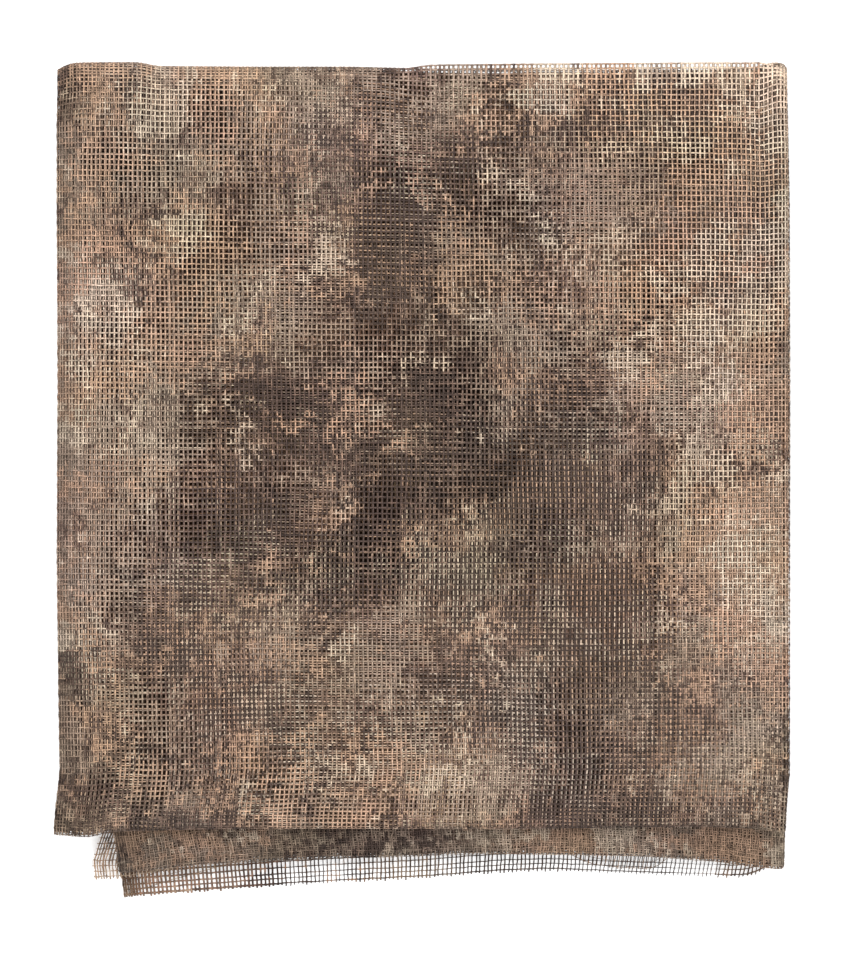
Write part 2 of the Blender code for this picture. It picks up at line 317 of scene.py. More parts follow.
def wall(share, x, zone, gone_spine):
    zero = np.zeros_like(x)
    return wrap_axis(x) + CORNER, LEVEL[0] + CORNER + share * WALL, zero - 1.0, zero


# Segments along the length, in the order of the cloth: name, nominal length, edges, place.
SEGMENTS = (
    ("lowest", 398 * MM, edge_curves(LOWEST_PANEL), flat(None, wrap_axis, LEVEL[0], 1.0)),
    ("corner below", QUARTER * CORNER, constant(LOWEST_PANEL[-1][1:]),
     turn(wrap_axis, LEVEL[0] + CORNER, CORNER, -QUARTER, QUARTER)),
    ("wall", WALL, between(LOWEST_PANEL, TOP_PANEL), wall),
    ("corner above", QUARTER * CORNER, constant(TOP_PANEL[0][1:]), upper_corner),
    ("top", 371 * MM, edge_curves(TOP_PANEL), top_panel),
    ("top fold", HALF_TURN * END_TURN, between(TOP_PANEL, SECOND_PANEL),
     turn(top_fold_axis, LEVEL[4] - PANEL_PITCH / 2, END_TURN, QUARTER, HALF_TURN)),
    ("second", 364 * MM, edge_curves(SECOND_PANEL), flat(top_fold_axis, inner_fold_axis, LEVEL[3], 1.0)),
    ("inner fold", HALF_TURN * END_TURN, between(SECOND_PANEL, THIRD_PANEL),
     turn(inner_fold_axis, LEVEL[3] - PANEL_PITCH / 2, END_TURN, QUARTER, -HALF_TURN)),
    ("third", 380 * MM, edge_curves(THIRD_PANEL), flat(inner_fold_axis, lower_fold_axis, LEVEL[2], -1.0)),
    ("lower fold", HALF_TURN * END_TURN, between(THIRD_PANEL, FOURTH_PANEL),
     turn(lower_fold_axis, LEVEL[2] - PANEL_PITCH / 2, END_TURN, QUARTER, HALF_TURN)),
    ("fourth", 382 * MM, edge_curves(FOURTH_PANEL), flat(lower_fold_axis, last_end, LEVEL[1], 1.0)))
SEGMENT_NAMES = [segment[0] for segment in SEGMENTS]
SEGMENT_STARTS = np.concatenate([[0.0], np.cumsum([segment[1] for segment in SEGMENTS])])
NET_LENGTH = float(SEGMENT_STARTS[-1])


def u_of(zone, share=0.0):
    """Cloth width at a share of a zone."""
    index = ZONE_NAMES.index(zone)
    return float(ZONE_STARTS[index] + share * ZONES[index][1])


def v_of(segment, share=0.0):
    """Cloth length at a share of a segment."""
    index = SEGMENT_NAMES.index(segment)
    return float(SEGMENT_STARTS[index] + share * SEGMENTS[index][1])


def fold(u, v):
    """Points of the folded cloth and its outward normals, for arrays of cloth coordinates."""
    shape = u.shape
    u, v = u.ravel(), v.ravel()
    point, normal = np.zeros((u.size, 3)), np.zeros((u.size, 3))
    index = np.clip(np.searchsorted(SEGMENT_STARTS, v, side="right") - 1, 0, len(SEGMENTS) - 1)
    for k, (_, length, edges, place) in enumerate(SEGMENTS):
        here = index == k
        if not here.any():
            continue
        share = (v[here] - SEGMENT_STARTS[k]) / length
        x, n, out_x, out_n, zone = across(u[here], edges(np.clip(share, 0, 1)))
        gone_spine = (u[here] - ZONE_STARTS[SPINE_ZONE]) / ZONES[SPINE_ZONE][1]
        y, z, up_y, up_z = place(share, x, zone, gone_spine)
        point[here] = np.stack([x, y + n * up_y, z + n * up_z], axis=1)
        normal[here] = np.stack([out_x, out_n * up_y, out_n * up_z], axis=1)
    wave = np.sin(2 * math.pi * point[:, 0] / SWELL_LENGTH[0] + SWELL_PHASE[0])
    wave *= np.cos(2 * math.pi * point[:, 1] / SWELL_LENGTH[1] + SWELL_PHASE[1])
    sink = np.zeros(len(point))
    for axis, sign, edge, reach, depth in DROOPS:
        inside = np.clip((sign * point[:, axis] - sign * edge) / reach, 0, 1)
        sink += depth * (1 - np.sin(QUARTER * inside))
    point[:, 2] *= 1 + SWELL * wave - sink
    return point.reshape(*shape, 3), normal.reshape(*shape, 3)


# -------- the mesh's yarns
PITCH_U = 2.295 * MM
PITCH_V = 2.715 * MM
WARP_HALF = 0.41 * MM  # half the width of a yarn that runs along the length
WEFT_HALF = 0.35 * MM  # half the width of a yarn that runs across
YARN_RISE = 0.16 * MM  # how far a yarn swings over and under the others
RIDGE = 0.12 * MM      # how far a yarn's middle stands above its edges
PLACES = 8000          # how finely the crowding of the yarns is worked out


def crowding(total, marks):
    """Maps a place in the slack cloth to one in the fold, where marks crowd the yarns together.

    A mark is a place, a reach and the share by which the yarns lie closer there.
    """
    places = np.linspace(0, total, PLACES)
    density = np.ones_like(places)
    for place, reach, share in marks:
        density += share * np.exp(-((places - place) / reach) ** 2)
    slack = np.concatenate([[0.0], np.cumsum((density[1:] + density[:-1]) / 2 * np.diff(places))])
    return slack, places


def extra_rows(segment, reach, rows):
    """A mark that makes room for whole rows of yarns where a ply goes round the outside of a fold."""
    return v_of(segment, 0.5), reach, rows * PITCH_V / (reach * math.sqrt(math.pi))


LEFT_FOLD, SPINE_FOLD, HIGH_FOLD = (u_of(zone, 0.5) for zone in ("low left", "spine", "high left"))
FAR_EDGE = v_of("corner above", 0.5)
U_MARKS = [(LEFT_FOLD, 10 * MM, 0.70), (HIGH_FOLD, 10 * MM, 0.70), (SPINE_FOLD, 6 * MM, 0.35)]
V_MARKS = [(v_of("top fold", 0.3), 13 * MM, 0.55), (v_of("lower fold", 0.4), 12 * MM, 0.20)]
OUTER_MARKS = V_MARKS + [
    (v_of("top") + 1.5 * MM, 4.5 * MM, 0.58),
    extra_rows("corner below", 2.4 * MM, 1), extra_rows("corner above", 2.4 * MM, 3),
    extra_rows("top fold", 4.5 * MM, 2), extra_rows("lower fold", 4.5 * MM, 2)]
SECOND_MARKS = V_MARKS + [
    extra_rows("corner above", 2.4 * MM, 1), extra_rows("top fold", 4.5 * MM, 1),
    extra_rows("lower fold", 4.5 * MM, 1)]
SLACK_U, FOLD_U = crowding(NET_WIDTH, U_MARKS)
LENGTHS = {
    "outer": crowding(NET_LENGTH, OUTER_MARKS), "second": crowding(NET_LENGTH, SECOND_MARKS),
    "plain": crowding(NET_LENGTH, V_MARKS)}
CLOTH_WIDTH = float(SLACK_U[-1])


def columns_to(u):
    return float(np.interp(u, FOLD_U, SLACK_U)) / PITCH_U


def column(u):
    """The warp yarn that lies nearest to a cloth width."""
    return int(round(columns_to(u)))


def row(v, ply="plain"):
    """The weft yarn of a ply that lies nearest to a cloth length."""
    slack, places = LENGTHS[ply]
    return int(round(float(np.interp(v, places, slack)) / PITCH_V))


COLUMNS = column(NET_WIDTH)
# Under the left fold the columns lie halfway between those above, and at the high pair's on them.
COLUMN_START = (columns_to(LEFT_FOLD) - 0.25) % 0.5
END_SHIFT = (columns_to(HIGH_FOLD) - COLUMN_START) % 0.5
LIP_SHARE = 0.42  # how far up the corner the lip's row lies
LIP_ROW = row(v_of("corner above", LIP_SHARE), "outer")


def lip_shares():
    """Shares of the upper corner at which the rows under, on and behind the lip's edge lie."""
    slack, places = LENGTHS["outer"]
    lines = [float(np.interp((LIP_ROW + k + 0.5) * PITCH_V, slack, places)) for k in (-1, 0, 1)]
    return [(v - v_of("corner above")) / QUARTER / CORNER for v in lines]


def waves(seed, count, shortest, longest):
    """A smooth random function of cloth coordinates, about -1 to 1, from a sum of waves."""
    draw = np.random.default_rng(seed)
    lengths = np.exp(draw.uniform(math.log(shortest), math.log(longest), count))
    angles = draw.uniform(0, 2 * math.pi, count)
    phases = draw.uniform(0, 2 * math.pi, count)
    sizes = lengths / lengths.max()

    def field(u, v):
        total = np.zeros_like(u)
        for length, angle, phase, size in zip(lengths, angles, phases, sizes):
            along = u * math.cos(angle) + v * math.sin(angle)
            total += size * np.sin(2 * math.pi * along / length + phase)
        return total / math.sqrt(float(np.sum(sizes ** 2)) * 0.5) / 2
    return field


SLOW = [waves(seed, 16, 0.07, 0.34) for seed in (11, 12)]
QUICK = [waves(seed, 30, 0.022, 0.07) for seed in (13, 14)]
SLOW_WANDER = 1.35 * MM    # how far a flap strays from a straight grid over a hand's width
TAUT = 0.45                # the outer plies stray less, down to this share
LOOSE_REACH = 40 * MM      # from a fold to where a flap lies fully loose
SLANT_END = 310 * MM       # past this the low flap's grid runs alongside its ply's again
QUICK_WANDER = 0.18 * MM   # how far the mesh strays over a finger's width
END_CALM = 22 * MM         # the cut end strays less, over this length
END_STRAY = 0.15           # down to this share
FLAP_SLANT = 0.0095        # a flap's rows slope against its ply's rows
FLAP_STEP = 0.5 * PITCH_V  # and lie between them
FLAP_STEP_REACH = 20 * MM
FLAP_LEAN = 0.0074         # and its columns lie wider
# From here to there the low flap grows calmer towards the spine, by this share.
CALM_FLAP = (210 * MM, 290 * MM)
CALM_SHARE = 0.6

# Where the outer ply is rumpled: width, length, reach in metres, gain.
RUMPLED = (
    (LEFT_FOLD, v_of("top") + 8 * MM, 30 * MM, 8.0), (SPINE_FOLD, v_of("top") + 4 * MM, 14 * MM, 2.0),
    (LEFT_FOLD, v_of("top fold") - 6 * MM, 24 * MM, 5.0))
EDGE_CALM = 22 * MM      # the columns run straighter near the folded sides, over this width
EDGE_STILL = 0.85        # by this share
LIP_CALM = 10 * MM       # the rows keep to the far edge's line over this length
LIP_STILL = (0.5, 0.46)  # by these shares: all along it, and more for the lip
LIP_FADE = 70 * MM       # and find back to their own places over this one
SPINE_X = TOP_PANEL[0][3] * MM - SPINE_REACH


def low_ply_x(u):
    """Where a place on the low ply lies from left to right, roughly."""
    return SPINE_X - (u - u_of("low ply"))


def lip_rows(u0, v0, j):
    """The top ply's rows keep their spacing behind the lip, and the panel takes up the difference."""
    x = low_ply_x(u0)
    first = LIP_ROW + 1
    begin = v_of("corner above", lip_shares()[2])
    end = v_of("top")
    run = OUTER + lip_line(x) - LIP_ROW_GAP
    past = (j - first) * PITCH_V
    on_corner = begin + (end - begin) * past / run
    kept = end + past - run
    on_panel = v0 + (kept - v0) * np.exp(-np.clip(past - run, 0, None) / LIP_FADE)
    formed = lip_formed(x)
    behind = np.where(past < run, on_corner, on_panel)
    return np.where(j <= first, v0, formed * behind + (1 - formed) * v0)


def cloth_at(i, j, ply, crumple=1.0):
    """Cloth coordinates of a crossing: warp yarn i and weft yarn j, with the mesh's wander."""
    u0 = np.interp((i + COLUMN_START) * PITCH_U, SLACK_U, FOLD_U)
    slack_v = (j + 0.5) * PITCH_V
    slack, places = LENGTHS[ply]
    v0 = np.where(slack_v < 0, slack_v, np.interp(slack_v, slack, places))
    calm = np.clip(v0 / END_CALM, END_STRAY, 1)
    row_calm = slant_calm = calm
    if ply == "outer":
        v0 = lip_rows(u0, v0, j)
        near_lip = np.exp(-((v0 - FAR_EDGE) / LIP_CALM) ** 2)
        row_calm = calm * (1 - near_lip * (LIP_STILL[0] + LIP_STILL[1] * lip_formed(low_ply_x(u0))))
    past_low = np.clip(u0 - u_of("low flap"), 0, None)
    near_spine = np.clip((past_low - CALM_FLAP[0]) / (CALM_FLAP[1] - CALM_FLAP[0]), 0, 1)
    past_high = np.clip(u_of("high left") - u0, 0, None)
    # All the way round the far edge the columns stray as they do at its start.
    still = v0 - np.clip(v0 - v_of("wall"), 0, v_of("top") + 2 * MM - v_of("wall"))
    for fold_u in (LEFT_FOLD, SPINE_FOLD, HIGH_FOLD):
        calm = calm * (1 - EDGE_STILL * np.exp(-((u0 - fold_u) / EDGE_CALM) ** 2))
    slow = SLOW_WANDER * (TAUT + (1 - TAUT) * np.clip((past_low + past_high) / LOOSE_REACH, 0, 1))
    slow = slow * (1 - CALM_SHARE * near_spine)
    past_low = np.minimum(past_low, SLANT_END)
    rough = crumple * QUICK_WANDER * (1 + sum(
        gain * np.exp(-((u0 - at_u) ** 2 + (v0 - at_v) ** 2) / reach ** 2)
        for at_u, at_v, reach, gain in RUMPLED))
    u = u0 + calm * slow * SLOW[0](u0, still) + np.sqrt(calm) * rough * QUICK[0](u0, still)
    v = v0 + row_calm * (slow * SLOW[1](u0, v0) + rough * QUICK[1](u0, v0))
    step = FLAP_STEP * (1 - np.exp(-past_low / FLAP_STEP_REACH))
    return (u + FLAP_LEAN * (past_low - past_high),
            v + slant_calm * (FLAP_SLANT * (past_low - past_high) + step))


def add_object(name, data):
    made = bpy.data.objects.new(name, data)
    bpy.context.scene.collection.objects.link(made)
    return made


def quad_object(name, points, quads, uvs, material, sides=None):
    """A mesh object from arrays of points, quads and each point's cloth coordinate.

    sides says where on its yarn a point lies, from -1 at one edge to 1 at the other.
    """
    corners = quads.ravel()
    mesh = bpy.data.meshes.new(name)
    mesh.vertices.add(len(points))
    mesh.vertices.foreach_set("co", points.astype(np.float32).ravel())
    mesh.loops.add(quads.size)
    mesh.loops.foreach_set("vertex_index", corners.astype(np.int32))
    mesh.polygons.add(len(quads))
    mesh.polygons.foreach_set("loop_start", np.arange(0, quads.size, 4, dtype=np.int32))
    layers = {"cloth": uvs}
    if sides is not None:
        layers["yarn"] = np.stack([sides, np.zeros_like(sides)], axis=-1)
    for key, pairs in layers.items():
        layer = mesh.uv_layers.new(name=key)
        layer.data.foreach_set("uv", pairs[corners].astype(np.float32).ravel())
    mesh.polygons.foreach_set("use_smooth", np.full(len(quads), True))
    mesh.update()
    mesh.validate()
    mesh.materials.append(material)
    return add_object(name, mesh)


def unit(vectors):
    return vectors / np.maximum(np.linalg.norm(vectors, axis=-1, keepdims=True), 1e-12)


def ribbons(point, normal, side, half, swing, cloth, cloth_side, ridge):
    """Strips along the first axis of the arrays: points, quads, cloth coordinates and sides."""
    centre = point + normal * swing[..., None]
    step = side * half[..., None]
    shifts = (-1, 0, 1) if ridge > 0 else (-1, 1)
    lanes = [centre + k * step + normal * (-ridge if k else ridge) for k in shifts]
    points = np.stack(lanes, axis=2).reshape(-1, 3)
    coords = np.stack([cloth + k * np.array(cloth_side) for k in shifts], axis=2).reshape(-1, 2)
    shape = (*centre.shape[:2], len(shifts))
    sides = np.broadcast_to(np.array(shifts, dtype=float), shape).ravel()
    index = np.arange(math.prod(shape)).reshape(shape)
    near, far = index[:-1], index[1:]
    quads = []
    for k in range(len(shifts) - 1):
        corners = (near[..., k], far[..., k], far[..., k + 1], near[..., k + 1])
        quads.append(np.stack(corners, axis=-1).reshape(-1, 4))
    return points, np.concatenate(quads), coords, sides


WORN_REACH = 30 * MM
# How wide the yarns are at the low ply's cut end: x in mm, share of the warp's width, of the weft's.
WORN = (
    (-150, 1.25, 1.25), (-100, 1.15, 1.10), (-92, 0.80, 0.80), (-87, 0.55, 0.50), (-80, 0.85, 0.85),
    (-71, 0.60, 0.50), (-60, 0.60, 0.60), (-52, 0.88, 0.78), (0, 0.80, 0.64), (50, 0.80, 0.68),
    (80, 0.56, 0.52), (119, 0.54, 0.56), (126, 0.52, 0.35), (146, 0.50, 0.22), (152, 0.80, 0.66),
    (185, 0.95, 0.95))


def near_end(v):
    """1 near the cut end, and 0 away from it."""
    return np.clip(1.5 - v / WORN_REACH, 0, 1)


def worn(u, v):
    """Shares of the warp's and the weft's width on the low ply, which is worn near its cut end."""
    x = low_ply_x(u) / MM
    places, *widths = zip(*WORN)
    return [1 + near_end(v) * (np.interp(x, places, shares) - 1) for shares in widths]


def thin_end(warp_loss, weft_loss):
    """The same for a ply whose yarns are all thinner at its cut end."""
    return lambda u, v: (1 - warp_loss * near_end(v), 1 - weft_loss * near_end(v))


LIP_THICK = 0.45  # how much wider the yarns look on the lip, where two plies meet
LIP_THICK_REACH = 4 * MM
FAR_THICK = 0.30  # and along the rest of the far edge, where its rows are squashed
FAR_THICK_REACH = 5 * MM
CORNER_THICK = 0.75  # and at the spine's far corner
CORNER_THICK_REACH = (6 * MM, 9 * MM)


def on_edges(u, v):
    """How much wider the outer ply's yarns look along the far edge."""
    x = low_ply_x(u)
    past = v - FAR_EDGE
    thick = LIP_THICK * lip_formed(x) * np.exp(-(past / LIP_THICK_REACH) ** 2)
    thick += FAR_THICK * (1 - lip_formed(x)) * np.exp(-(past / FAR_THICK_REACH) ** 2)
    thick += CORNER_THICK * np.exp(-((x - SPINE_X) / CORNER_THICK_REACH[0]) ** 2
                                   - (past / CORNER_THICK_REACH[1]) ** 2)
    return 1 + thick


FLAT = (False, False)       # neither the warp's yarns nor the weft's have a ridge
STUB = 0.36                 # how far the warp's ends stand out past the last weft yarn
STUB_STRAY = (-0.18, 0.20)  # and how unevenly, in rows
# How unevenly the yarns lie and how unlike they are: for the warp, for the weft.
YARN_SHIFT = (0.06, 0.05)        # of a yarn's place, in columns or rows
CROSSING_STRAY = (0.045, 0.035)  # of each crossing's place, likewise
LIP_STEADY = 0.3                 # the rows on the lip stray by this share of it
YARN_WIDTHS = 0.08               # of a yarn's width
CROSSING_WIDTHS = 0.06           # of its width at each crossing


def mesh_patch(i_range, j_range, face=1.0, ridges=(True, True), stubs=False, seed=0, lift=None,
               crumple=1.0, ply="plain", thin=None, shift=(0.0, 0.0), stray=1.0):
    """The yarns of one patch of the net, from warp yarn to warp yarn and from weft to weft.

    face turns the yarns' round side towards the cloth's outward side (1) or the other (-1).
    lift gives how far the patch stands off the fold's ply, as a function of u and v.
    """
    i = np.arange(*i_range)
    j = np.arange(*j_range).astype(float)
    if stubs:
        j = np.concatenate([[j[0] - STUB], j])
    grid_i, grid_j = np.meshgrid(i.astype(float), j)
    draw = np.random.default_rng(seed)
    warp_shift = draw.normal(0, YARN_SHIFT[0], len(i))[None, :]
    weft_shift = draw.normal(0, YARN_SHIFT[1], len(j))[:, None]
    if stubs:
        grid_j = grid_j + np.where(grid_j < j_range[0], draw.uniform(*STUB_STRAY, grid_i.shape), 0.0)
    steady = np.where(np.abs(grid_j - LIP_ROW) < 1.5, LIP_STEADY, 1.0) if ply == "outer" else 1.0
    stray_i = warp_shift + steady * stray * draw.normal(0, CROSSING_STRAY[0], grid_i.shape)
    stray_j = steady * (weft_shift + stray * draw.normal(0, CROSSING_STRAY[1], grid_i.shape))
    u, v = cloth_at(grid_i + shift[0] + stray_i, grid_j + shift[1] + stray_j, ply, crumple)
    point, normal = fold(u, v)
    normal = normal * face
    if lift is not None:
        point = point + normal * lift(u, v)[..., None]
    athwart = unit(np.gradient(point, axis=1))
    along = unit(np.cross(athwart, normal))
    along *= np.sign(np.sum(along * np.gradient(point, axis=0)))
    over = np.where((np.round(grid_i) + np.round(grid_j)) % 2 == 0, 1.0, -1.0)
    cloth = np.stack([u, v], axis=-1)
    warp_half = WARP_HALF * (1 + draw.normal(0, YARN_WIDTHS, len(i))[None, :]
                             + draw.normal(0, CROSSING_WIDTHS, u.shape))
    weft_half = WEFT_HALF * (1 + draw.normal(0, YARN_WIDTHS, len(j))[:, None]
                             + draw.normal(0, CROSSING_WIDTHS, u.shape))
    warp_share, weft_share = thin(u, v) if thin else (1, 1)
    edge_share = on_edges(u, v) if ply == "outer" else 1
    warp_half = warp_half * warp_share * edge_share
    weft_half = weft_half * weft_share * edge_share
    warp = ribbons(point, normal, athwart, warp_half, YARN_RISE * over, cloth,
                   (WARP_HALF, 0.0), RIDGE * ridges[0])
    first = 1 if stubs else 0
    turned = [rows[first:].swapaxes(0, 1) for rows in (
        point, normal, -along, weft_half, -YARN_RISE * over, cloth)]
    weft = ribbons(*turned, (0.0, WEFT_HALF), RIDGE * ridges[1])
    return warp, weft


def net_object(name, patches, material):
    """One object from several sets of ribbons."""
    starts = np.cumsum([0] + [len(patch[0]) for patch in patches])
    quads = np.concatenate([patch[1] + start for patch, start in zip(patches, starts)])
    points, coords, sides = (np.concatenate([patch[k] for patch in patches]) for k in (0, 2, 3))
    return quad_object(name, points, quads, coords, material, sides)


# -------- materials
def new_material(name):
    material = bpy.data.materials.new(name)
    material.use_nodes = True
    return material, material.node_tree, material.node_tree.nodes["Principled BSDF"]


def plug(made, inputs):
    """Sets a node's inputs, each to a value or to another node's output."""
    for key, value in inputs.items():
        if isinstance(value, bpy.types.NodeSocket):
            made.id_data.links.new(value, made.inputs[key])
        else:
            made.inputs[key].default_value = value


def node(kind, inputs, tree=None, **settings):
    """A new node, in the tree that its inputs come from."""
    sources = [value for value in inputs.values() if isinstance(value, bpy.types.NodeSocket)]
    made = (tree or sources[0].id_data).nodes.new(kind)
    for key, value in settings.items():
        setattr(made, key, value)
    plug(made, inputs)
    return made


def maths(operation, *values, kind="ShaderNodeMath"):
    return node(kind, dict(enumerate(values)), operation=operation).outputs[0]


def plus(a, b):
    return maths("ADD", a, b)


def minus(a, b):
    return maths("SUBTRACT", a, b)


def times(a, b):
    return maths("MULTIPLY", a, b)


def span(value, low, high, to_low=0.0, to_high=1.0, kind="LINEAR"):
    ends = {"From Min": low, "From Max": high, "To Min": to_low, "To Max": to_high}
    return node("ShaderNodeMapRange", {"Value": value, **ends}, interpolation_type=kind).outputs[0]


def smooth_step(value, low, high):
    return span(value, low, high, kind="SMOOTHSTEP")


def mix(share, a, b, blend="MIX"):
    made = node("ShaderNodeMix", {0: share, 6: a, 7: b}, data_type="RGBA", blend_type=blend)
    return made.outputs[2]


def shaded(colour, shade):
    return mix(1.0, colour, shade, "MULTIPLY")


def rgb(red, green, blue):
    return node("ShaderNodeCombineColor", {0: red, 1: green, 2: blue}).outputs[0]


def grey(value):
    return rgb(value, value, value)


def vector_maths(operation, *values):
    return maths(operation, *values, kind="ShaderNodeVectorMath")


def uv_vector(tree, layer):
    return node("ShaderNodeUVMap", {}, tree, uv_map=layer).outputs[0]


def parts_of(vector):
    return node("ShaderNodeSeparateXYZ", {0: vector}).outputs


def noise(where, scale, detail, roughness, shift=(0, 0, 0)):
    return node("ShaderNodeTexNoise", {
        "Vector": vector_maths("ADD", where, shift), "Scale": scale, "Detail": detail,
        "Roughness": roughness}).outputs[0]


CREAM = (0.525, 0.410, 0.308, 1)
TAN = (0.430, 0.279, 0.191, 1)
SAND = (0.325, 0.238, 0.178, 1)
BROWN = (0.185, 0.117, 0.087, 1)
DARK = (0.086, 0.057, 0.046, 1)
# HOLE_SHADE is painted shade: the dark seen through the hidden plies' openings, deep in the stack.
HOLE_SHADE = (0.024, 0.011, 0.005, 1)
INNER_SHADE = (0.37, 0.29, 0.235, 1)
WARM_SHADE = (1.0, 0.84, 0.70, 1)  # the tint of yarns lit through the plies above them
SINGLE_TINT = (1.0, 0.90, 0.81, 1)
# The flanks' darkness is painted shade, for the yarn's round.
SIDE_SHADE = 0.85  # how much darker a yarn's flanks are than its crown
LEFT_FOLD_SHADE = 0.66   # painted shade: how dark the print is drawn on the left fold
LEFT_FOLD_SHADE_WIDTH = (3 * MM, 16 * MM)
RUDDY = 0.05   # how far the dye strays towards red and back
SALLOW = 0.07  # and towards yellow

# The print's fields of noise: scale in waves to the metre, detail, roughness, place in the noise.
PRINT_NOISE = {
    "broad": (5.2, 2.0, 0.50, (16.8, 21.52, 13.7)), "blotch": (17.0, 12.0, 0.66, (15.4, 16.72, 13.7)),
    "warm": (24.0, 12.0, 0.68, (22.5, 17.92, 13.7)), "pale": (27.0, 12.0, 0.60, (20.1, 23.02, 13.7)),
    "dirt": (42.0, 12.0, 0.70, (15.9, 19.92, 13.7)), "fleck": (150.0, 4.0, 0.65, (5.5, 0.4, 0)),
    "patchy": (95.0, 5.0, 0.70, (0.7, 3.3, 0)), "red": (13.0, 6.0, 0.65, (4.4, 8.2, 0)),
    "blue": (11.0, 6.0, 0.65, (7.5, 1.3, 0))}
MOST = (0.30, 0.70)    # nearly all values of a noise lie between these
MANY = (0.36, 0.64)    # and most of them between these
CRUMBS = (0.08, 0.28)  # how far a blotch's edge crumbles, by openings and by flecks
BROAD_PULL = 0.80      # how far the broad noise makes whole stretches lighter or darker
CREAM_PULL = 0.8       # and this share of it for the cream
# Between these values of its noise each colour sets in.
BROWN_FROM = (0.38, 0.47)
SAND_FROM = (0.45, 0.54)
TAN_FROM = (0.50, 0.58)
SOIL_FROM = (0.56, 0.64)
CREAM_FROM = (0.565, 0.63)
SOIL_DEPTH = 0.75
PATCHY_SHADE = (0.78, 1.22)
BROAD_SHADE = (0.80, 1.20)


def cell_lot(cloth):
    """A number between 0 and 1 drawn for each opening of the mesh."""
    cells = vector_maths("FLOOR", vector_maths("MULTIPLY", cloth, (1 / PITCH_U, 1 / PITCH_V, 1)))
    return node("ShaderNodeTexWhiteNoise", {"Vector": cells}, noise_dimensions="2D").outputs[0]


def camouflage(cloth, lot):
    """The print: mottled blotches of five earth colours whose edges crumble from yarn to yarn."""
    field = {name: noise(cloth, *values) for name, values in PRINT_NOISE.items()}
    crumbs = plus(times(minus(lot, 0.5), CRUMBS[0]), times(minus(field["fleck"], 0.5), CRUMBS[1]))
    lie = times(minus(field["broad"], 0.5), BROAD_PULL)
    tone = plus(plus(field["blotch"], lie), crumbs)
    base = mix(smooth_step(tone, *BROWN_FROM), DARK, BROWN)
    base = mix(smooth_step(tone, *SAND_FROM), base, SAND)
    warmth = plus(plus(field["warm"], lie), crumbs)
    base = mix(smooth_step(warmth, *TAN_FROM), base, TAN)
    soil = minus(minus(field["dirt"], lie), crumbs)
    base = mix(times(smooth_step(soil, *SOIL_FROM), SOIL_DEPTH), base, DARK)
    cream = plus(plus(field["pale"], times(lie, CREAM_PULL)), crumbs)
    base = mix(smooth_step(cream, *CREAM_FROM), base, CREAM)
    cloud = times(span(field["patchy"], *MOST, *PATCHY_SHADE), span(field["broad"], *MOST, *BROAD_SHADE))
    red = span(field["red"], *MANY, 1 - RUDDY, 1 + RUDDY)
    blue = span(field["blue"], *MANY, 1 - SALLOW, 1 + SALLOW)
    return shaded(shaded(base, grey(cloud)), rgb(red, 1.0, blue))


GRAIN = (1150.0, 1.0, 0.5)  # the yarns' finest noise: scale, detail, roughness
GRAIN_SHARE = 0.58          # how much of a yarn's lightness goes by the grain, not by the opening


def yarn_print(name, low, high, tint=None):
    """The yarns' material, matt with a slight sheen: the print, from low to high in lightness."""
    material, tree, shader = new_material(name)
    cloth = uv_vector(tree, "cloth")
    lot = cell_lot(cloth)
    grain = noise(cloth, *GRAIN)
    both = plus(times(span(grain, *MANY), GRAIN_SHARE), times(lot, 1 - GRAIN_SHARE))
    side = parts_of(uv_vector(tree, "yarn"))[0]
    # Painted shade: a yarn's flanks drawn darker than its crown.
    flank_shade = minus(1.0, times(times(side, side), SIDE_SHADE))
    shade = times(span(both, 0.0, 1.0, low, high), flank_shade)
    colour = shaded(camouflage(cloth, lot), grey(shade))
    if tint:
        colour = shaded(colour, tint)
    # Painted shade along the left fold: the print drawn darker there.
    off_fold = maths("ABSOLUTE", minus(parts_of(cloth)[0], LEFT_FOLD))
    fold_shade = span(smooth_step(off_fold, *LEFT_FOLD_SHADE_WIDTH), 0.0, 1.0, LEFT_FOLD_SHADE, 1.0)
    bump = node("ShaderNodeBump", {"Height": grain, "Strength": 0.5, "Distance": 0.1 * MM})
    plug(shader, {
        "Base Color": shaded(colour, grey(fold_shade)), "Normal": bump.outputs[0],
        "Roughness": 0.72, "Specular IOR Level": 0.18, "Sheen Weight": 0.04, "Sheen Roughness": 0.5})
    return material


def inner_print(name):
    """The hidden plies: the same print on yarns drawn by the mesh's pitch, with dark openings."""
    material, tree, shader = new_material(name)
    cloth = uv_vector(tree, "cloth")
    colour = camouflage(cloth, cell_lot(cloth))
    parts = parts_of(cloth)
    wave = noise(cloth, scale=30.0, detail=1.0, roughness=0.5)
    masks = []
    for part, pitch, half in ((parts[0], PITCH_U, WARP_HALF), (parts[1], PITCH_V, WEFT_HALF)):
        cell = plus(maths("DIVIDE", part, pitch), wave)
        off = maths("ABSOLUTE", minus(maths("FRACT", cell), 0.5))
        masks.append(smooth_step(off, half / pitch * 1.25, half / pitch * 0.75))
    yarn = maths("MAXIMUM", *masks)
    bump = node("ShaderNodeBump", {"Height": yarn, "Strength": 1.0, "Distance": 0.4 * MM})
    plug(shader, {
        # The yarns are in painted shade and the openings painted dark, for the plies deeper in the stack.
        "Base Color": mix(yarn, HOLE_SHADE, shaded(colour, INNER_SHADE)), "Normal": bump.outputs[0],
        "Roughness": 0.85, "Specular IOR Level": 0.1})
    return material


